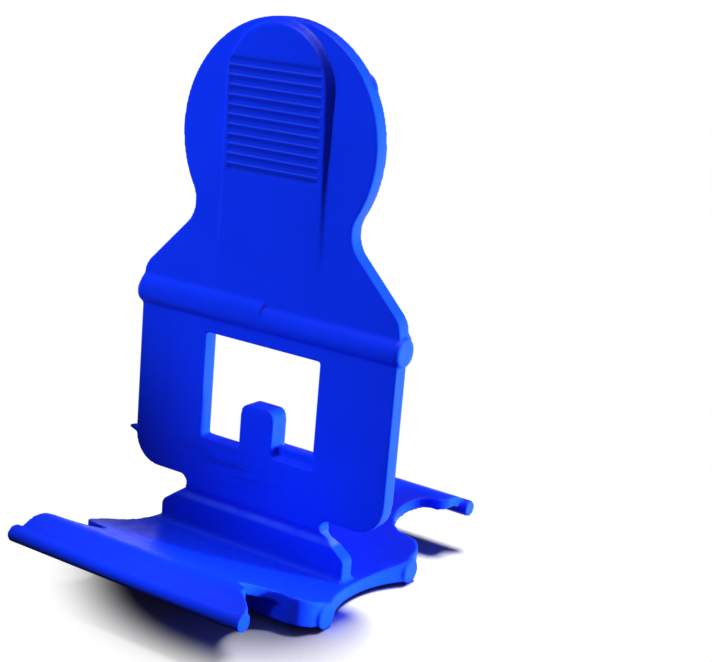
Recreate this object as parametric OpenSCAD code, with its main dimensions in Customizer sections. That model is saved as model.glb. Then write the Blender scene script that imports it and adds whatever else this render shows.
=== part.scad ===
// Tile levelling clip: an upright plate with a wedge window and a round thumb head,
// a stem that snaps off at a thin break line, and a base with two sprung wings.
// The floor is Z = 0, X runs along the tile joint and the plate stands on Y = 0.

/* [Plate] */
// Overall height of the clip
clip_h = 52.5; // [50:0.5:60]
// Width of the upright plate
plate_w = 30; // [26:0.5:40]
// Thickness of the plate and stem, which is the width of the tile joint
plate_t = 1.6; // [1.2:0.1:3]
// Radius of the plate's two lower corners
plate_corner_r = 3; // [1:0.1:4]
// Height of the plate's lower edge above the break line
break_gap = 1.75; // [1.4:0.05:3]
// Length of the gate nib left on the plate's left edge
nib_l = 1.2; // [0.2:0.1:1.5]
// Radius of the nib at the edge
nib_r = 0.5; // [0.2:0.05:0.6]
// Height of the nib above the plate's lower edge
nib_h = 3.1; // [3:0.1:6]

/* [Window] */
// Width of the wedge window
window_w = 13.5; // [10:0.5:18]
// Height of the wedge window
window_h = 10.5; // [8:0.5:14]
// Height of the window sill above the plate's lower edge
sill_h = 4.5; // [3.5:0.1:7]
// Width of the tongue on the sill
tongue_w = 3.9; // [2.5:0.1:5]
// Height of the tongue above the sill
tongue_h = 4.5; // [2:0.1:6]
// Thickness of the tongue, flush with the plate's front
tongue_t = 2.2; // [1.6:0.1:3]
// Radius of the tongue's top corners
tongue_r = 0.9; // [0.3:0.1:1.2]
// Height of the rear lip on the right of the sill
lip_h = 1; // [0.4:0.1:2]
// Thickness of the rear lip
lip_t = 0.8; // [0.4:0.1:1.2]

/* [Rib] */
// Height of the rib's axis above the window
rib_rise = 2.6; // [2.2:0.1:5]
// Radius of the rib
rib_r = 1.45; // [1.2:0.05:2]
// How much higher the left half of the rib reaches on each face
rib_step = 0.5; // [0.1:0.05:1]
// Radius of the round boss at each end of the rib
boss_r = 1.35; // [0.8:0.05:1.45]
// How far each boss stands out of the plate's edge
boss_proud = 0.35; // [0.1:0.05:1]

/* [Head] */
// Height of the foot of the shoulders above the rib's axis
shoulder_rise = 2.6; // [2.2:0.1:6]
// Slope of the shoulders from the horizontal
shoulder_angle = 45; // [40:1:50]
// Radius at the foot of the shoulders
shoulder_r = 2.5; // [0.5:0.1:3]
// Radius of the round head
head_r = 11; // [9:0.1:12]
// Radius of the hollow between shoulder and head
neck_r = 3; // [1.5:0.1:5]

/* [Thumb pad] */
// Width of the pad where it leaves the head's face
pad_w = 11.8; // [8:0.2:14]
// Height of the pad's foot above the foot of the shoulders
pad_foot = 2.3; // [1:0.1:6]
// Distance from the top of the pad's arch to the top of the head
pad_margin = 0.2; // [0.1:0.1:2]
// How far the pad stands out at its top
pad_proud = 1.1; // [0.5:0.05:1.5]
// How far the pad's walls lean in
pad_lean = 0.4; // [0.2:0.05:1]
// Number of finger grooves
groove_n = 12; // [4:1:14]
// Pitch of the finger grooves
groove_pitch = 0.9; // [0.7:0.05:1]
// Width of one groove at the surface
groove_w = 0.6; // [0.3:0.02:0.66]
// Depth of one groove
groove_d = 0.26; // [0.1:0.02:0.36]
// Length of one groove
groove_l = 10.4; // [5:0.1:10.6]
// Distance from the top groove to the top of the head
groove_top = 4.3; // [3.5:0.1:6]

/* [Stem] */
// Length of the stem along the joint
stem_w = 22.3; // [18:0.5:24]
// Height of the break line above the base
stem_h = 3.65; // [3.2:0.05:8]
// Slope of the stem's shoulders from the horizontal
stem_angle = 36; // [20:1:45]
// Radius of the stem's shoulders
stem_corner_r = 0.9; // [0.3:0.1:1.2]
// Radius of the fillets along the stem's foot and at its ends
stem_fillet_r = 0.5; // [0.2:0.1:0.8]
// Length of the break line
break_w = 16.4; // [12:0.2:17.4]
// Radius of the notch at each end of the break line
break_notch_r = 0.8; // [0.4:0.05:1]
// Thickness left at the break line
break_t = 0.7; // [0.4:0.05:1]
// Height of the break groove at the surface
break_groove_h = 1.25; // [0.6:0.05:1.4]

/* [Base] */
// Width of the base
base_w = 27.5; // [25:0.2:36]
// Depth of the base from edge to edge
base_d = 19.8; // [18:0.1:24]
// Width of the base at its waist
waist_w = 24.3; // [24:0.1:25.6]
// Radius of the base's corners
base_corner_r = 2.2; // [0.5:0.1:2.5]
// Thickness of the base plate under the stem
slab_t = 1.25; // [1.1:0.05:1.6]
// How far the base plate's underside rises from the bars to its edges
edge_lift = 0.4; // [0.1:0.05:0.8]
// Gap between the base plate and the floor
slab_gap = 0.35; // [0.1:0.05:0.6]
// Radius of the two round bars that the clip stands on
bar_r = 1.2; // [1.1:0.05:1.6]
// Distance of each bar's axis from the base's edge
bar_inset = 2.9; // [2.5:0.05:4]

/* [Wings] */
// Thickness of the wing
wing_t = 1; // [0.7:0.05:1.4]
// Reach of the wing's crest past the base's edge
wing_reach = 6.45; // [5.5:0.05:8]
// Height of the crest above the floor
crest_h = 5.95; // [5.5:0.05:6.5]
// Radius of the crest on its upper side
crest_r = 3.4; // [2.5:0.1:4]
// Slope of the wing between the dished base and the crest
wing_rise = 23.3; // [20:0.1:26]
// Turn of the wing past its crest, down to the bead
bead_angle = 50; // [40:1:65]
// Radius of the bead along the wing's end
bead_r = 0.82; // [0.6:0.05:1.2]
// Length of the bead
bead_l = 27; // [24:0.2:36]
// Width of the wing's cross bar
flap_w = 25.2; // [22:0.2:34]
// Width of the wing's neck
wing_neck_w = 17.6; // [12:0.2:18]
// Radius of the rounded notch beside the wing's neck
wing_notch_r = 2.6; // [1.5:0.1:2.7]
// Radius of the cross bar's inner corners
flap_corner_r = 1.1; // [0.2:0.1:1.2]

/* [Hidden] */
$fn = 96;
arc_steps = 14;
overlap = 0.05;
clip_blue = [0.06, 0.18, 0.88];
half_t = plate_t / 2;

// Heights, each counted up from the one below it
slab_top = slab_gap + slab_t;
break_z = slab_top + stem_h;
plate_z = break_z + break_gap;
sill_z = plate_z + sill_h;
lintel_z = sill_z + window_h;
rib_z = lintel_z + rib_rise;
shoulder_z = rib_z + shoulder_rise;
head_z = clip_h - head_r;

// Hollow between shoulder and head: a circle that touches both
shoulder_foot = [plate_w / 2, shoulder_z];
shoulder_dir = [-cos(shoulder_angle), sin(shoulder_angle)];
shoulder_out = [sin(shoulder_angle), cos(shoulder_angle)];
head_c = [0, head_z];
hollow_start = shoulder_foot + neck_r * shoulder_out - head_c;
hollow_reach = hollow_start * shoulder_dir;
hollow_gap = hollow_start * hollow_start - pow(head_r + neck_r, 2);
hollow_slide = -hollow_reach - sqrt(pow(hollow_reach, 2) - hollow_gap);
neck_c = shoulder_foot + neck_r * shoulder_out + hollow_slide * shoulder_dir;

// Thumb pad: its face rises from the foot to the arch
pad_foot_z = shoulder_z + pad_foot;
pad_top = clip_h - pad_margin;
pad_arch_z = pad_top - pad_w / 2;
pad_slope = pad_proud / (pad_top - pad_foot_z);

// Apex of the notch at each end of the break line
notch_apex_x = break_w / 2 + break_notch_r - break_notch_r / tan(stem_angle / 2);
stem_side_z = plate_z - (stem_w / 2 - notch_apex_x) * tan(stem_angle);

// Waist of the base: one large circle on each side
bar_y = base_d / 2 - bar_inset;
waist_depth = (base_w - waist_w) / 2;
waist_half = bar_y - bar_r;
waist_r = (pow(waist_half, 2) + pow(waist_depth, 2)) / (2 * waist_depth);

// Wing section: the dished top of the base runs into a straight rise and then the round crest
arm_y = base_d / 2 + 2 * wing_notch_r;
crest_y = base_d / 2 + wing_reach;
crest_c = [crest_y, crest_h - crest_r];
crest_drop = cos(wing_rise) * (slab_top - crest_c.y) - crest_r;
dish_r = (sin(wing_rise) * crest_y + crest_drop) / (1 - cos(wing_rise));
dish_c = [0, slab_top + dish_r];
dish_mid_r = dish_r + wing_t / 2;
dish_edge = asin(base_d / 2 / dish_mid_r);
bead_mid_r = crest_r - wing_t / 2;
bead_c = crest_c + bead_mid_r * [sin(bead_angle), cos(bead_angle)];

function unit(v) = v / norm(v);

// Points along an arc about c, from one angle to another
function arc(c, r, from, to) =
    [for (i = [0 : arc_steps])
        let (a = from + (to - from) * i / arc_steps)
        c + r * [cos(a), sin(a)]];

// Points of the arc of radius r that rounds corner q on the way from p to s
function corner_arc(p, q, s, r) =
    let (u = unit(p - q), v = unit(s - q))
    let (half = acos(u * v) / 2)
    let (c = q + unit(u + v) * r / sin(half))
    let (first = q + u * r / tan(half) - c)
    let (start = atan2(first.y, first.x))
    let (turn = cross(u, v) > 0 ? -1 : 1)
    arc(c, r, start, start + turn * (180 - 2 * half));

// Closed outline from corners given as [x, y, radius]
function rounded(corners) =
    let (n = len(corners), flat = [for (k = corners) [k.x, k.y]])
    [for (i = [0 : n - 1])
        each corners[i].z > 0
            ? corner_arc(flat[(i + n - 1) % n], flat[i], flat[(i + 1) % n], corners[i].z)
            : [flat[i]]];

module both_sides_x() {
    children();
    mirror([1, 0, 0]) children();
}

// The front and the back of the clip are alike after half a turn about Z
module front_and_back() {
    children();
    rotate([0, 0, 180]) children();
}

// Turns a drawing in X and Z into a plate of thickness t centred on Y = 0
module upright_sheet(t) {
    rotate([90, 0, 0]) linear_extrude(t, center = true) children();
}

// Runs a drawing in Y and Z along X for length l, centred on X = 0
module run_along_x(l) {
    rotate([90, 0, 90]) linear_extrude(l, center = true) children();
}

module bar_along_x(r, l) {
    rotate([0, 90, 0]) cylinder(r = r, h = l, center = true);
}

// Right half of the stem, the notch at the break line, the plate, its shoulder and the neck
module stem_and_plate_half() {
    hollow = arc(neck_c, neck_r, 270 - shoulder_angle, atan2(head_c.y - neck_c.y, head_c.x - neck_c.x));
    polygon(rounded(concat(
        [
            [0, slab_gap + overlap, 0],
            [stem_w / 2 + stem_fillet_r, slab_gap + overlap, 0],
            [stem_w / 2 + stem_fillet_r, slab_top, 0],
            [stem_w / 2, slab_top, stem_fillet_r],
            [stem_w / 2, stem_side_z, stem_corner_r],
            [notch_apex_x, plate_z, break_notch_r],
            [plate_w / 2, plate_z, plate_corner_r],
            [plate_w / 2, shoulder_z, shoulder_r]
        ],
        [for (touch = hollow) [touch.x, touch.y, 0]],
        [[0, head_z, 0]]
    )));
}

module window_outline() {
    translate([-window_w / 2, sill_z]) square([window_w, window_h]);
}

module tongue_outline() {
    polygon(rounded([
        [-tongue_w / 2, sill_z - overlap, 0],
        [tongue_w / 2, sill_z - overlap, 0],
        [tongue_w / 2, sill_z + tongue_h, tongue_r],
        [-tongue_w / 2, sill_z + tongue_h, tongue_r]
    ]));
}

module plate() {
    upright_sheet(plate_t) difference() {
        union() {
            both_sides_x() stem_and_plate_half();
            translate(head_c) circle(head_r);
        }
        window_outline();
    }
    translate([0, (tongue_t - plate_t) / 2, 0]) upright_sheet(tongue_t) tongue_outline();
    translate([tongue_w / 2 - overlap, half_t - lip_t, sill_z - overlap])
        cube([(window_w - tongue_w) / 2 + 2 * overlap, lip_t, lip_h + overlap]);
}

// Stub of the feed channel, broken off on the left edge beside the front face
module gate_nib() {
    translate([overlap - plate_w / 2, nib_r - half_t, plate_z + nib_h])
        rotate([0, -90, 0]) cylinder(r1 = nib_r, r2 = nib_r / 3, h = nib_l + overlap);
}

// Half of the rib, seen on the front, that reaches higher than the other half
module raised_rib_half() {
    intersection() {
        union() {
            translate([0, 0, rib_step]) bar_along_x(rib_r, plate_w);
            translate([-plate_w / 2, -rib_r, 0]) cube([plate_w, rib_r, rib_step]);
        }
        translate([-plate_w / 2, -rib_r, 0]) cube([plate_w / 2, rib_r, rib_r + rib_step]);
    }
}

// Round rib across both faces: on each face its left half is the taller one
module rib() {
    translate([0, 0, rib_z]) {
        bar_along_x(rib_r, plate_w);
        bar_along_x(boss_r, plate_w + 2 * boss_proud);
        front_and_back() raised_rib_half();
    }
}

// Distance of the pad's sloping face from Y = 0 at height z
function pad_face(z) = half_t + pad_slope * (z - pad_foot_z);

// Everything behind the pad's sloping face, drawn in Y and Z
module pad_wedge() {
    run_along_x(pad_w) polygon([
        [0, pad_foot_z], [-half_t, pad_foot_z], [-pad_face(clip_h), clip_h], [0, clip_h]
    ]);
}

// Pad before its face is cut: straight flanks below, a cone for the arch above
module pad_block() {
    root = pad_w / 2;
    translate([0, 0, pad_foot_z]) linear_extrude(pad_arch_z - pad_foot_z) polygon([
        [-root, 0], [-root, -half_t], [-root + pad_lean, -half_t - pad_proud],
        [root - pad_lean, -half_t - pad_proud], [root, -half_t], [root, 0]
    ]);
    translate([0, 0, pad_arch_z]) rotate([90, 0, 0]) {
        cylinder(r = root, h = half_t);
        translate([0, 0, half_t]) cylinder(r1 = root, r2 = root - pad_lean, h = pad_proud);
    }
}

// Cutter for a V groove along X: its root lies on the X axis and it opens toward the front
module vee_cutter(l, w, d) {
    flare = 1.5;
    run_along_x(l) polygon([[0, 0], [-flare * d, flare * w / 2], [-flare * d, -flare * w / 2]]);
}

module thumb_grooves() {
    for (i = [0 : groove_n - 1]) {
        z = clip_h - groove_top - i * groove_pitch;
        translate([0, groove_d - pad_face(z), z]) vee_cutter(groove_l, groove_w, groove_d);
    }
}

module thumb_pad() {
    difference() {
        intersection() {
            pad_block();
            pad_wedge();
        }
        thumb_grooves();
    }
}

// Groove that thins the stem at the break line on the front face
module break_groove() {
    translate([0, -break_t / 2, break_z])
        vee_cutter(stem_w + 2 * overlap, break_groove_h, (plate_t - break_t) / 2);
}

module stem_foot_fillet() {
    run_along_x(stem_w) translate([-half_t, slab_top]) difference() {
        translate([-stem_fillet_r, -overlap]) square([stem_fillet_r + overlap, stem_fillet_r + overlap]);
        translate([-stem_fillet_r, stem_fillet_r]) circle(stem_fillet_r);
    }
}

// Plan of one quarter of the base and its wing
module base_plan_quarter() {
    difference() {
        polygon(rounded([
            [0, 0, 0],
            [base_w / 2, 0, 0],
            [base_w / 2, base_d / 2, base_corner_r],
            [wing_neck_w / 2, base_d / 2, wing_notch_r],
            [wing_neck_w / 2, arm_y, wing_notch_r],
            [flap_w / 2, arm_y, flap_corner_r],
            [flap_w / 2, bead_c.x, 0],
            [0, bead_c.x, 0]
        ]));
        translate([waist_w / 2 + waist_r, 0]) circle(waist_r);
    }
}

module base_plan() {
    both_sides_x() {
        base_plan_quarter();
        mirror([0, 1, 0]) base_plan_quarter();
    }
}

// Side section of one wing, drawn in Y and Z: an even leaf from the stem to the bead
module wing_section() {
    polygon(concat(
        arc(dish_c, dish_r, -90, wing_rise - 90),
        arc(crest_c, crest_r, 90 + wing_rise, 90 - bead_angle),
        arc(crest_c, crest_r - wing_t, 90 - bead_angle, 90 + wing_rise),
        arc(dish_c, dish_r + wing_t, wing_rise - 90, -90)
    ));
}

// Side section of half the base, with the thick plate under the leaf and its bar
module base_section_half() {
    wing_section();
    polygon(concat(
        [[0, slab_gap], [bar_y, slab_gap], [base_d / 2, slab_gap + edge_lift]],
        arc(dish_c, dish_mid_r, dish_edge - 90, -90)
    ));
    translate([bar_y, bar_r]) circle(bar_r);
}

module base() {
    intersection() {
        run_along_x(base_w) {
            base_section_half();
            mirror([1, 0, 0]) base_section_half();
        }
        linear_extrude(crest_h + overlap) base_plan();
    }
    front_and_back() {
        translate([0, bar_y, bar_r]) bar_along_x(bar_r, base_w);
        translate([0, bead_c.x, bead_c.y]) bar_along_x(bead_r, bead_l);
        stem_foot_fillet();
    }
}

module levelling_clip() {
    color(clip_blue) {
        difference() {
            plate();
            front_and_back() break_groove();
        }
        gate_nib();
        rib();
        front_and_back() thumb_pad();
        base();
    }
}

levelling_clip();
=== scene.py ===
import math

import bmesh
import bpy
from mathutils import Matrix, Vector


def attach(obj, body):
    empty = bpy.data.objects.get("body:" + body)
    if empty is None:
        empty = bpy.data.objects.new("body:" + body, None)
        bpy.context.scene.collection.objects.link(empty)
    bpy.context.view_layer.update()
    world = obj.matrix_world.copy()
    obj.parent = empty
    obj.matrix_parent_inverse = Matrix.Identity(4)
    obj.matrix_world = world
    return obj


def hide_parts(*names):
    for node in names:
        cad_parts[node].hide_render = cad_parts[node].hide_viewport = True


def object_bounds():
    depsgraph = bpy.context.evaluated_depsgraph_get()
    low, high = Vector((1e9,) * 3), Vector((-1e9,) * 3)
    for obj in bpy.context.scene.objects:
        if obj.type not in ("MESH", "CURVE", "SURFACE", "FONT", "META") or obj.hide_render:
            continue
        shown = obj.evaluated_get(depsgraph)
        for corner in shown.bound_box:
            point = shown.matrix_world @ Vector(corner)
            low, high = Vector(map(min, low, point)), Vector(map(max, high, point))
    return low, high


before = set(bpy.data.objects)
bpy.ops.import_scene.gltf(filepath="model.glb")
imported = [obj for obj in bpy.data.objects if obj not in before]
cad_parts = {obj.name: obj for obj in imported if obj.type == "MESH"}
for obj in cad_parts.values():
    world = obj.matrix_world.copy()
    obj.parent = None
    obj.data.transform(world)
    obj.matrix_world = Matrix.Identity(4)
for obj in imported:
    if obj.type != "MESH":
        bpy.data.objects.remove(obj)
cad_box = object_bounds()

MM = 0.001

# Photograph: its width and focal length in pixels, and its camera in the part's frame
IMAGE_WIDTH = 712
FOCAL_PIXELS = 1501
SENSOR_WIDTH = 36
CAMERA_PLACE = Vector((81.6, -109.8, 58.9)) * MM
CAMERA_AZIMUTH = math.radians(33.16)
CAMERA_ELEVATION = math.radians(14.28)
CAMERA_ROLL = math.radians(4.95)
CAMERA_CLIP_START = 5 * MM

# Moulded body: fineness of the rounded skin and how soft its edges are
SKIN_VOXEL = 0.15 * MM
SKIN_SMOOTHING = 0.5
SKIN_SMOOTHING_STEPS = 3
SKIN_TRIANGLES = 180000
MERGE_DISTANCE = 0.001 * MM

# Plate, head and thumb pad, as in the part
PLATE_THICKNESS = 1.6 * MM
HEAD_TOP = cad_box[1][2]
HEAD_RADIUS = 11 * MM
PAD_FOOT = 29.5 * MM
PAD_TOP = HEAD_TOP - 0.2 * MM
PAD_PROUD = 1.1 * MM

# Finger grooves of the pad, as in the part, and the round ridges between them
GROOVE_COUNT = 12
GROOVE_PITCH = 0.9 * MM
GROOVE_LENGTH = 10.4 * MM
TOP_GROOVE = HEAD_TOP - 4.3 * MM
RIDGE_RADIUS = 0.13 * MM
RIDGE_PROUD = 0.03 * MM
RIDGE_SIDES = 16

# Round bars under the base: radius, distance from the plate, sides of their round, reach of their
# ends past the base, and the width of the base
BAR_RADIUS = 1.2 * MM
BAR_PLACE = 7 * MM
BAR_SIDES = 48
BAR_PROUD = 0.3 * MM
BASE_WIDTH = 27.5 * MM

# Burr on the head's rim: angle round the head, half length, height and half width
BURR_ANGLE = math.radians(34)
BURR_HALF_LENGTH = 0.9 * MM
BURR_HEIGHT = 0.3 * MM
BURR_HALF_WIDTH = 0.3 * MM
BURR_SUBDIVISIONS = 3

# Slanted end of each wing's cross bar, on the right of someone who faces the wing. A pair is the
# distance from the middle and from the plate: where the slant starts, where it ends, and where
# the moved stretch begins. After them, the fade, the end of the square bar and that of the bead
SLANT_START = (11.4 * MM, 16.35 * MM)
SLANT_END = (13.4 * MM, 18 * MM)
SLANT_ROOT = (8.5 * MM, 14.6 * MM)
SLANT_FADE = 0.7 * MM
FLAP_END = 12.6 * MM
BEAD_END = 13.5 * MM

# Patch over the finger grooves, on the front and on the back, where a darker blue paints the shade of the
# grooves on the body and a lighter blue paints highlights on the ridges' crests
GRIP_MARGIN = 0.15 * MM
GROOVE_PAINTED_LIGHT_PATCH = {
    "Low": TOP_GROOVE - GROOVE_PITCH * (GROOVE_COUNT - 0.5),
    "High": TOP_GROOVE + GROOVE_PITCH / 2,
    "Half Width": GROOVE_LENGTH / 2 + GRIP_MARGIN,
    "Half Depth": 4 * MM,
    "Fade": 0.25 * MM,
}

# Scuffed strip of the break line, how far it is worn and how much rougher it is
BREAK_STRIP = {
    "Low": 4.6 * MM,
    "High": 5.9 * MM,
    "Half Width": 20 * MM,
    "Half Depth": 1.2 * MM,
    "Fade": 0.25 * MM,
}
SCUFF_WEAR = (0.2, 0.7)
SCUFF_ROUGHNESS = 0.25

# Flow streaks on the near face, below the window: middle and half sizes of their patch, tilt,
# noise scale along each axis, and the noise values between which a streak comes up
STREAK_PATCH = {
    "Middle": Vector((-3.5, -0.8, 9.2)) * MM,
    "Half Size": Vector((8, 0.8, 2.4)) * MM,
}
STREAK_TILT = (0, 0.12, 0)
STREAK_SCALE = (150, 150, 1700)
STREAK_DETAIL = 3
STREAK_LIMITS = (0.48, 0.68)

# Marks of the mould: noise scale and detail of the grain, the upright flow lines and the cloudy tone
GRAIN_SCALE = 5200
RIDGE_GRAIN_SCALE = 7000
GRAIN_DETAIL = 3
GRAIN_SHARE = 0.5
FLOW_SCALE = 900
FLOW_DETAIL = 2
FLOW_STRETCH = (1, 1, 0.05)
CLOUD_SCALE = 110
CLOUD_DETAIL = 4
NOISE_LIMITS = (0.3, 0.7)

# Finish of the blue plastic
BLUE = (0.002, 0.026, 0.72, 1)
BLUE_DEEP = (0.0015, 0.022, 0.65, 1)
BLUE_SCUFFED = (0.03, 0.08, 0.8, 1)
BLUE_STREAKED = (0.001, 0.011, 0.38, 1)
# Darker blue painted over the finger grooves as painted shade of the grooves
BLUE_GROOVE_PAINTED_SHADE = (0.0015, 0.0185, 0.52, 1)
# Lighter blue on the ridges' crests as a painted highlight
BLUE_CREST_PAINTED_HIGHLIGHT = (0.008, 0.036, 0.7, 1)
PLASTIC_SPECULAR = 0.3
PLASTIC_ROUGHNESS = (0.36, 0.5)
BUMP_STRENGTH = 0.35
BUMP_DEPTH = 0.012 * MM

# Floor: its colour to the camera and to other rays, and the ring in which the shadow fades to white
FLOOR_RADIUS = 4.0
FLOOR_SEGMENTS = 64
FLOOR_SEEN = (0.5, 0.5, 0.5, 1)
FLOOR_BOUNCE = (0.08, 0.08, 0.08, 1)
FLOOR_MIDDLE = (6 * MM, 1 * MM, 0)
FLOOR_NEAR = 17 * MM
FLOOR_FAR = 25 * MM

# Room: weak light all round, height of the white backdrop in reflections, and the depth behind the
# plate over which the reflected floor turns white
AMBIENT = 0.05
HORIZON_TOP = 0.15
REFLECTED_FLOOR_DEPTH = 30 * MM
WHITE = (1, 1, 1, 1)

# Points that the lamps are aimed at
CLIP_FOOT = (0, 0, 0)
CLIP_MIDDLE = (0, 0, 26 * MM)
HEAD_MIDDLE = (3 * MM, 0, 46 * MM)
FRONT_WING = (0, -23 * MM, 5 * MM)


def finished(name, mesh):
    """A new object at the origin that holds the mesh in its own place."""
    piece = bpy.data.objects.new(name, mesh)
    bpy.context.scene.collection.objects.link(piece)
    return piece


def paint(mesh, material):
    """Gives the whole mesh one material."""
    mesh.materials.clear()
    mesh.materials.append(material)


def made_plain(piece):
    """Turns the piece's modifiers into its mesh and removes them."""
    depsgraph = bpy.context.evaluated_depsgraph_get()
    mesh = bpy.data.meshes.new_from_object(piece.evaluated_get(depsgraph))
    old = piece.data
    piece.modifiers.clear()
    piece.data = mesh
    bpy.data.meshes.remove(old)
    mesh.name = piece.name
    return piece


class Nodes:
    """Short way to add, feed and link nodes in one tree."""

    def __init__(self, tree):
        self.tree = tree
        tree.nodes.clear()

    def link(self, source, target):
        self.tree.links.new(source, target)

    def feed(self, socket, value):
        """Links another node's output to the socket, or sets a constant on it."""
        if isinstance(value, bpy.types.NodeSocket):
            self.link(value, socket)
        else:
            socket.default_value = value

    def add(self, kind, feeds=None, **settings):
        """A new node with its settings, and with its inputs fed by name."""
        node = self.tree.nodes.new(kind)
        for name, value in settings.items():
            setattr(node, name, value)
        for name, value in (feeds or {}).items():
            self.feed(node.inputs[name], value)
        return node

    def math(self, operation, *values, clamp=False):
        node = self.add("ShaderNodeMath", operation=operation, use_clamp=clamp)
        for socket, value in zip(node.inputs, values):
            self.feed(socket, value)
        return node.outputs[0]

    def vector(self, operation, *values):
        node = self.add("ShaderNodeVectorMath", operation=operation)
        for socket, value in zip(node.inputs, values):
            self.feed(socket, value)
        return node.outputs["Value" if operation in ("LENGTH", "DISTANCE") else "Vector"]

    def place(self):
        """The point of the surface, in the piece's own frame."""
        return self.add("ShaderNodeTexCoord").outputs["Object"]

    def split(self, place):
        """The X, Y and Z of a place, by name."""
        return self.add("ShaderNodeSeparateXYZ", {"Vector": place}).outputs

    def noise(self, place, scale, detail):
        feeds = {"Vector": place, "Scale": scale, "Detail": detail}
        return self.add("ShaderNodeTexNoise", feeds).outputs["Fac"]

    def spread(self, value, limits, results=(0, 1), shape="LINEAR"):
        """A value between two limits, spread over the range of the results."""
        feeds = {
            "Value": value,
            "From Min": limits[0],
            "From Max": limits[1],
            "To Min": results[0],
            "To Max": results[1],
        }
        return self.add("ShaderNodeMapRange", feeds, interpolation_type=shape).outputs["Result"]

    def mixed_colour(self, factor, first, second):
        """Blend of two colours, each a constant or another node's output."""
        feeds = {"Factor": factor, "A": first, "B": second}
        return self.add("ShaderNodeMix", feeds, data_type="RGBA").outputs["Result"]

    def effect(self, group, values):
        """Puts a shared effect in a material, with this material's own values."""
        return self.add("ShaderNodeGroup", values, node_tree=group).outputs


def new_group(name, kind, inputs, outputs):
    """A node group with named sockets: the group, its nodes, what it is given and what it gives."""
    group = bpy.data.node_groups.new(name, kind)
    for in_out, sockets in (("INPUT", inputs), ("OUTPUT", outputs)):
        for socket_name, socket_kind in sockets.items():
            group.interface.new_socket(socket_name, in_out=in_out, socket_type=socket_kind)
    nodes = Nodes(group)
    return group, nodes, nodes.add("NodeGroupInput").outputs, nodes.add("NodeGroupOutput").inputs


# Shared shader effects


def moulded_surface_group():
    """Fine grain, upright flow lines and cloudy tone of a moulded face."""
    group, nodes, given, result = new_group(
        "moulded_surface",
        "ShaderNodeTree",
        dict.fromkeys(("Grain Scale", "Flow Scale", "Cloud Scale"), "NodeSocketFloat"),
        dict.fromkeys(("Height", "Flow", "Cloud"), "NodeSocketFloat"),
    )
    place = nodes.place()
    upright = nodes.add("ShaderNodeMapping", {"Vector": place, "Scale": FLOW_STRETCH})
    grain = nodes.noise(place, given["Grain Scale"], GRAIN_DETAIL)
    flow = nodes.noise(upright.outputs["Vector"], given["Flow Scale"], FLOW_DETAIL)
    cloud = nodes.noise(place, given["Cloud Scale"], CLOUD_DETAIL)
    fine = nodes.math("MULTIPLY", grain, GRAIN_SHARE)
    drawn = nodes.math("MULTIPLY", flow, 1 - GRAIN_SHARE)
    nodes.link(nodes.math("ADD", fine, drawn), result["Height"])
    nodes.link(flow, result["Flow"])
    nodes.link(cloud, result["Cloud"])
    return group


def box_patch_group():
    """One inside a box about the clip's upright axis, fading to nought at its sides."""
    group, nodes, given, result = new_group(
        "box_patch",
        "ShaderNodeTree",
        dict.fromkeys(("Low", "High", "Half Width", "Half Depth", "Fade"), "NodeSocketFloat"),
        {"Mask": "NodeSocketFloat"},
    )
    place = nodes.split(nodes.place())
    mask = None
    for end, start in (
        (place["Z"], given["Low"]),
        (given["High"], place["Z"]),
        (given["Half Width"], nodes.math("ABSOLUTE", place["X"])),
        (given["Half Depth"], nodes.math("ABSOLUTE", place["Y"])),
    ):
        room = nodes.math("SUBTRACT", end, start)
        share = nodes.math("DIVIDE", room, given["Fade"], clamp=True)
        mask = nodes.math("MULTIPLY", mask, share) if mask else share
    nodes.link(mask, result["Mask"])
    return group


def streak_patch_group():
    """Thin streaks along X inside an oval patch, strongest at its middle."""
    group, nodes, given, result = new_group(
        "streak_patch",
        "ShaderNodeTree",
        dict.fromkeys(("Middle", "Half Size"), "NodeSocketVector"),
        {"Mask": "NodeSocketFloat"},
    )
    place = nodes.place()
    offset = nodes.vector("SUBTRACT", place, given["Middle"])
    distance = nodes.vector("LENGTH", nodes.vector("DIVIDE", offset, given["Half Size"]))
    oval = nodes.math("SUBTRACT", 1, distance, clamp=True)
    feeds = {"Vector": place, "Rotation": STREAK_TILT, "Scale": STREAK_SCALE}
    drawn_out = nodes.add("ShaderNodeMapping", feeds).outputs["Vector"]
    lines = nodes.spread(nodes.noise(drawn_out, 1, STREAK_DETAIL), STREAK_LIMITS)
    nodes.link(nodes.math("MULTIPLY", oval, lines), result["Mask"])
    return group


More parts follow.
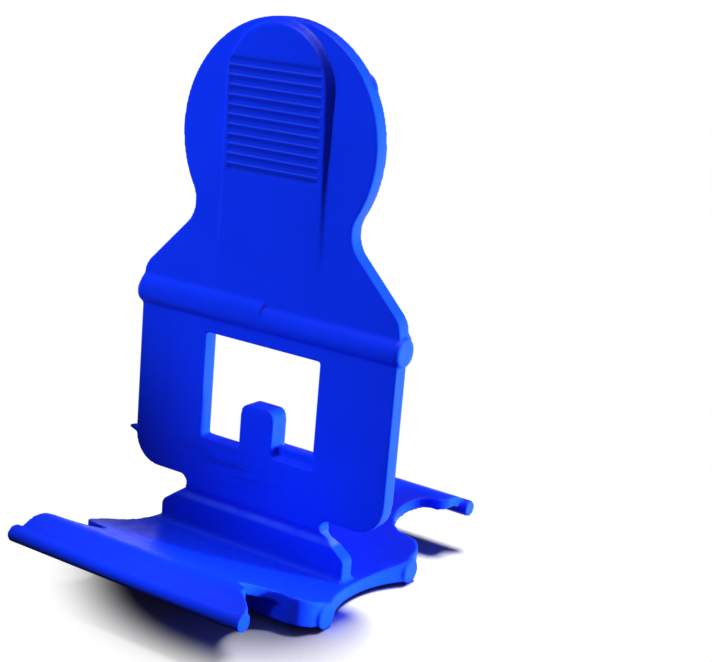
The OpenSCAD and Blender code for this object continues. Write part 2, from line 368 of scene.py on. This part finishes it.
def blue_plastic(name, surface, patch, grain_scale, grip_painted_light_blue, streaks=None):
    """Semi-gloss blue polypropylene with the given painted-light blue on the grip; with streaks, the
    scuffed strip too.
    """
    material = bpy.data.materials.new(name)
    material.use_nodes = True
    nodes = Nodes(material.node_tree)
    scales = {"Grain Scale": grain_scale, "Flow Scale": FLOW_SCALE, "Cloud Scale": CLOUD_SCALE}
    marks = nodes.effect(surface, scales)
    colour = nodes.mixed_colour(nodes.spread(marks["Cloud"], NOISE_LIMITS), BLUE_DEEP, BLUE)
    rough = nodes.spread(marks["Flow"], NOISE_LIMITS, PLASTIC_ROUGHNESS)
    # Painted light over the finger grooves: painted shade on the body, painted highlight on the ridges
    colour = nodes.mixed_colour(nodes.effect(patch, GROOVE_PAINTED_LIGHT_PATCH)["Mask"], colour, grip_painted_light_blue)
    if streaks:
        colour = nodes.mixed_colour(nodes.effect(streaks, STREAK_PATCH)["Mask"], colour, BLUE_STREAKED)
        worn = nodes.spread(marks["Flow"], NOISE_LIMITS, SCUFF_WEAR)
        scuff = nodes.math("MULTIPLY", nodes.effect(patch, BREAK_STRIP)["Mask"], worn)
        colour = nodes.mixed_colour(scuff, colour, BLUE_SCUFFED)
        rough = nodes.math("ADD", rough, nodes.math("MULTIPLY", scuff, SCUFF_ROUGHNESS))

    grain = {"Strength": BUMP_STRENGTH, "Distance": BUMP_DEPTH, "Height": marks["Height"]}
    bump = nodes.add("ShaderNodeBump", grain)
    finish = {
        "Base Color": colour,
        "Roughness": rough,
        "Specular IOR Level": PLASTIC_SPECULAR,
        "Normal": bump.outputs["Normal"],
    }
    shader = nodes.add("ShaderNodeBsdfPrincipled", finish)
    nodes.add("ShaderNodeOutputMaterial", {"Surface": shader.outputs["BSDF"]})
    return material


# Pieces of the clip


def add_rim_burr(solid):
    """Adds a sliver of flash that stands out of the head's rim, at its far edge."""
    centre = Vector((0, PLATE_THICKNESS / 2 - BURR_HALF_WIDTH, HEAD_TOP - HEAD_RADIUS))
    rim = Vector((math.cos(BURR_ANGLE), 0, math.sin(BURR_ANGLE))) * HEAD_RADIUS
    sizes = Matrix.Diagonal((BURR_HEIGHT, BURR_HALF_WIDTH, BURR_HALF_LENGTH, 1))
    turn = Matrix.Rotation(-BURR_ANGLE, 4, "Y")
    place = Matrix.Translation(centre + rim) @ turn @ sizes
    bmesh.ops.create_icosphere(solid, subdivisions=BURR_SUBDIVISIONS, radius=1, matrix=place)


def add_bar_ends(solid):
    """Adds the round bars under the base, with ends that stand out of the base's sides."""
    lying = Matrix.Rotation(math.pi / 2, 4, "Y")
    for side in (-1, 1):
        bmesh.ops.create_cone(
            solid,
            cap_ends=True,
            segments=BAR_SIDES,
            radius1=BAR_RADIUS,
            radius2=BAR_RADIUS,
            depth=BASE_WIDTH + 2 * BAR_PROUD,
            matrix=Matrix.Translation((0, side * BAR_PLACE, BAR_RADIUS)) @ lying,
        )


def smooth_share(value, start, end):
    """Nought up to start, one from end on, and smooth between them."""
    share = min(max((value - start) / (end - start), 0), 1)
    return share * share * (3 - 2 * share)


def slanted_flap_end(point):
    """Moves a point of the right end of a wing's cross bar onto its slant, which runs out to the bead."""
    side = -1 if point.y > 0 else 1
    width = side * point.x
    depth = abs(point.y)
    if width < SLANT_ROOT[0] or depth < SLANT_ROOT[1]:
        return point
    along = (depth - SLANT_START[1]) / (SLANT_END[1] - SLANT_START[1])
    slant = SLANT_START[0] + (SLANT_END[0] - SLANT_START[0]) * min(max(along, 0), 1)
    if width > FLAP_END:
        width = slant + (width - FLAP_END) * (BEAD_END - slant) / (BEAD_END - FLAP_END)
    else:
        share = smooth_share(width, SLANT_ROOT[0], FLAP_END)
        share *= smooth_share(depth, SLANT_ROOT[1], SLANT_ROOT[1] + SLANT_FADE)
        width += share * (slant - FLAP_END)
    return Vector((side * width, point.y, point.z))


def moulded_body(node, material):
    """The clip's body: the part's solid, the burr and the bars, under a skin with softly rounded edges."""
    solid = bmesh.new()
    solid.from_mesh(node.data)
    bmesh.ops.remove_doubles(solid, verts=solid.verts, dist=MERGE_DISTANCE)
    add_rim_burr(solid)
    add_bar_ends(solid)
    mesh = bpy.data.meshes.new("moulded_body")
    solid.to_mesh(mesh)
    solid.free()
    body = finished("moulded_body", mesh)

    skin = body.modifiers.new("skin", "REMESH")
    skin.mode = "VOXEL"
    skin.voxel_size = SKIN_VOXEL
    soften = body.modifiers.new("soften", "SMOOTH")
    soften.factor = SKIN_SMOOTHING
    soften.iterations = SKIN_SMOOTHING_STEPS
    made_plain(body)

    triangles = sum(len(face.vertices) - 2 for face in body.data.polygons)
    if triangles > SKIN_TRIANGLES:
        thin = body.modifiers.new("thin", "DECIMATE")
        thin.ratio = SKIN_TRIANGLES / triangles
        made_plain(body)
    for vertex in body.data.vertices:
        vertex.co = slanted_flap_end(vertex.co)
    paint(body.data, material)
    body.data.shade_smooth()
    return body


def finger_ridge_tree():
    """Geometry nodes: a ladder of round ridges up the sloping pad, on the front and on the back."""
    inputs = {
        "Count": "NodeSocketInt",
        "First": "NodeSocketVector",
        "Step": "NodeSocketVector",
        "Length": "NodeSocketFloat",
        "Radius": "NodeSocketFloat",
        "Sides": "NodeSocketInt",
        "Material": "NodeSocketMaterial",
    }
    outputs = {"Ridges": "NodeSocketGeometry"}
    tree, nodes, given, result = new_group("finger_ridges", "GeometryNodeTree", inputs, outputs)
    steps = {"Count": given["Count"], "Start Location": given["First"], "Offset": given["Step"]}
    ladder = nodes.add("GeometryNodeMeshLine", steps, mode="OFFSET")

    ends = {}
    for name, share in (("Start", -0.5), ("End", 0.5)):
        reach = nodes.math("MULTIPLY", given["Length"], share)
        ends[name] = nodes.add("ShaderNodeCombineXYZ", {"X": reach}).outputs["Vector"]
    spine = nodes.add("GeometryNodeCurvePrimitiveLine", ends)
    sizes = {"Resolution": given["Sides"], "Radius": given["Radius"]}
    section = nodes.add("GeometryNodeCurvePrimitiveCircle", sizes, mode="RADIUS")
    swept = {
        "Curve": spine.outputs["Curve"],
        "Profile Curve": section.outputs["Curve"],
        "Fill Caps": True,
    }
    bar = nodes.add("GeometryNodeCurveToMesh", swept)

    repeated = {"Points": ladder.outputs["Mesh"], "Instance": bar.outputs["Mesh"]}
    front = nodes.add("GeometryNodeInstanceOnPoints", repeated).outputs["Instances"]
    half_turn = {"Geometry": front, "Rotation": (0, 0, math.pi)}
    back = nodes.add("GeometryNodeTransform", half_turn).outputs["Geometry"]
    both = nodes.add("GeometryNodeJoinGeometry")
    for ridges in (back, front):
        nodes.link(ridges, both.inputs["Geometry"])

    real = nodes.add("GeometryNodeRealizeInstances", {"Geometry": both.outputs["Geometry"]})
    smooth = nodes.add("GeometryNodeSetShadeSmooth", {"Geometry": real.outputs["Geometry"]})
    finish = {"Geometry": smooth.outputs["Geometry"], "Material": given["Material"]}
    painted = nodes.add("GeometryNodeSetMaterial", finish)
    nodes.link(painted.outputs["Geometry"], result["Ridges"])
    return tree


def finger_ridges(material):
    """The crests between the finger grooves of both thumb pads."""
    slope = PAD_PROUD / (PAD_TOP - PAD_FOOT)
    first_height = TOP_GROOVE - GROOVE_PITCH / 2
    face = PLATE_THICKNESS / 2 + slope * (first_height - PAD_FOOT)
    sunk = RIDGE_RADIUS - RIDGE_PROUD
    values = {
        "Count": GROOVE_COUNT - 1,
        "First": (0, sunk - face, first_height),
        "Step": (0, slope * GROOVE_PITCH, -GROOVE_PITCH),
        "Length": GROOVE_LENGTH,
        "Radius": RIDGE_RADIUS,
        "Sides": RIDGE_SIDES,
        "Material": material,
    }
    ridges = finished("finger_ridges", bpy.data.meshes.new("finger_ridges"))
    grow = ridges.modifiers.new("ridges", "NODES")
    grow.node_group = finger_ridge_tree()
    for item in grow.node_group.interface.items_tree:
        if item.in_out == "INPUT":
            grow[item.identifier] = values[item.name]
    return made_plain(ridges)


# Studio


def mirrored(nodes, path):
    """One for rays from a glossy or a clear surface, else nought."""
    return nodes.math("MAXIMUM", path["Is Glossy Ray"], path["Is Transmission Ray"])


def seen_white(nodes, reflected_share):
    """One for the camera, the given share in reflections, and nought for all other rays."""
    path = nodes.add("ShaderNodeLightPath").outputs
    reflected = nodes.math("MULTIPLY", mirrored(nodes, path), reflected_share)
    return nodes.math("MAXIMUM", path["Is Camera Ray"], reflected)


def white_floor():
    """Pale floor that holds the shadow near the clip and is plain white further out."""
    material = bpy.data.materials.new("studio_floor")
    material.use_nodes = True
    nodes = Nodes(material.node_tree)
    place = nodes.place()
    behind = nodes.spread(nodes.split(place)["Y"], (0, REFLECTED_FLOOR_DEPTH))
    seen = seen_white(nodes, behind)
    colour = nodes.mixed_colour(seen, FLOOR_BOUNCE, FLOOR_SEEN)
    shadowed = nodes.add("ShaderNodeBsdfDiffuse", {"Color": colour})
    plain = nodes.add("ShaderNodeEmission", {"Strength": nodes.spread(seen, (0, 1), (AMBIENT, 1))})
    distance = nodes.vector("DISTANCE", place, FLOOR_MIDDLE)
    fade = nodes.spread(distance, (FLOOR_NEAR, FLOOR_FAR), shape="SMOOTHSTEP")
    mix = nodes.add("ShaderNodeMixShader")
    for socket, source in zip(mix.inputs, (fade, shadowed.outputs[0], plain.outputs[0])):
        nodes.link(source, socket)
    nodes.add("ShaderNodeOutputMaterial", {"Surface": mix.outputs[0]})

    disc = bmesh.new()
    bmesh.ops.create_circle(disc, cap_ends=True, segments=FLOOR_SEGMENTS, radius=FLOOR_RADIUS)
    mesh = bpy.data.meshes.new("studio_floor")
    disc.to_mesh(mesh)
    disc.free()
    paint(mesh, material)
    floor = finished("studio_floor", mesh)
    return floor


def white_room():
    """World that is white to the camera and at the far horizon in reflections, else a weak light."""
    world = bpy.data.worlds.new("white_room")
    bpy.context.scene.world = world
    world.use_nodes = True
    nodes = Nodes(world.node_tree)
    way = nodes.split(nodes.add("ShaderNodeTexCoord").outputs["Generated"])
    horizon = nodes.spread(way["Z"], (HORIZON_TOP, 0), shape="SMOOTHSTEP")
    behind = nodes.math("GREATER_THAN", way["Y"], 0)
    seen = seen_white(nodes, nodes.math("MULTIPLY", horizon, behind))
    strength = nodes.math("MAXIMUM", seen, AMBIENT)
    sky = nodes.add("ShaderNodeBackground", {"Color": WHITE, "Strength": strength})
    nodes.add("ShaderNodeOutputWorld", {"Surface": sky.outputs[0]})


def placed_lamp(name, light, place, aim):
    """A lamp at a place, turned towards a point."""
    lamp = bpy.data.objects.new(name, light)
    lamp.visible_camera = False
    bpy.context.scene.collection.objects.link(lamp)
    turn = (Vector(aim) - Vector(place)).to_track_quat("-Z", "Y").to_matrix().to_4x4()
    lamp.matrix_world = Matrix.Translation(place) @ turn
    return lamp


def soft_box(name, place, aim, size, power):
    """A square soft box, in metres and watts."""
    light = bpy.data.lights.new(name, "AREA")
    light.shape = "SQUARE"
    light.size = size
    light.energy = power
    return placed_lamp(name, light, place, aim)


def soft_spot(name, place, aim, radius, angle, blend, power):
    """A round lamp whose beam fades towards its rim, in metres, degrees and watts."""
    light = bpy.data.lights.new(name, "SPOT")
    light.shadow_soft_size = radius
    light.spot_size = math.radians(angle)
    light.spot_blend = blend
    light.energy = power
    return placed_lamp(name, light, place, aim)


def light_only(lamp, pieces):
    """The lamp lights these pieces and nothing else."""
    lit = bpy.data.collections.new(lamp.name + "_lights")
    for piece in pieces:
        lit.objects.link(piece)
    lamp.light_linking.receiver_collection = lit


def light_clip(pieces):
    """Lamps for the clip alone. Of these, only the soft box overhead shows in reflections."""
    overhead = soft_box(
        "overhead_softbox", place=(0.03, -0.02, 0.3), aim=CLIP_MIDDLE, size=0.2, power=0.45
    )
    key = soft_spot(
        "key_from_upper_left",
        place=(-0.085, -0.13, 0.105),
        aim=HEAD_MIDDLE,
        radius=0.007,
        angle=26,
        blend=0.42,
        power=1.4,
    )
    wing = soft_spot(
        "wing_light",
        place=(-0.03, -0.09, 0.16),
        aim=FRONT_WING,
        radius=0.012,
        angle=12,
        blend=0.4,
        power=1.6,
    )
    side = soft_box(
        "side_light_from_right", place=(0.15, 0.09, 0.1), aim=CLIP_MIDDLE, size=0.08, power=0.25
    )
    edge = soft_box(
        "edge_light_from_right", place=(0.185, 0.075, 0.02), aim=CLIP_MIDDLE, size=0.03, power=2.4
    )
    for lamp in (overhead, key, wing, side, edge):
        light_only(lamp, pieces)
        lamp.visible_glossy = lamp == overhead


def light_floor(floor):
    """Lamp for the floor alone, behind the clip, so that the clip's shadow falls to the front."""
    lamp = soft_box("floor_light", place=(0, 0.1, 0.28), aim=CLIP_FOOT, size=0.1, power=2.4)
    light_only(lamp, (floor,))


def photo_camera():
    """Camera at the photograph's place, angle and tilt."""
    data = bpy.data.cameras.new("photo_camera")
    data.sensor_width = SENSOR_WIDTH
    data.sensor_fit = "HORIZONTAL"
    data.lens = FOCAL_PIXELS / IMAGE_WIDTH * SENSOR_WIDTH
    data.clip_start = CAMERA_CLIP_START
    camera = bpy.data.objects.new("photo_camera", data)
    bpy.context.scene.collection.objects.link(camera)
    azimuth = Matrix.Rotation(CAMERA_AZIMUTH, 4, "Z")
    elevation = Matrix.Rotation(math.pi / 2 - CAMERA_ELEVATION, 4, "X")
    roll = Matrix.Rotation(CAMERA_ROLL, 4, "Z")
    camera.matrix_world = Matrix.Translation(CAMERA_PLACE) @ azimuth @ elevation @ roll
    bpy.context.scene.camera = camera


surface_marks = moulded_surface_group()
box_patch = box_patch_group()
flow_streaks = streak_patch_group()
# The body's blue has painted shade over the finger grooves
body_blue = blue_plastic("moulded_blue", surface_marks, box_patch, GRAIN_SCALE, BLUE_GROOVE_PAINTED_SHADE, flow_streaks)
# The ridges' blue has a painted highlight on their crests
ridge_blue_painted_highlight = blue_plastic("ridge_blue_painted_highlight", surface_marks, box_patch, RIDGE_GRAIN_SCALE, BLUE_CREST_PAINTED_HIGHLIGHT)

clip_body = moulded_body(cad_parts["levelling_clip"], body_blue)
clip_ridges = finger_ridges(ridge_blue_painted_highlight)
for clip_piece in (clip_body, clip_ridges):
    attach(clip_piece, "root")
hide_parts("levelling_clip")

studio_floor = white_floor()
white_room()
light_clip((clip_body, clip_ridges))
light_floor(studio_floor)
photo_camera()

scene_view = bpy.context.scene.view_settings
scene_view.view_transform = "Standard"
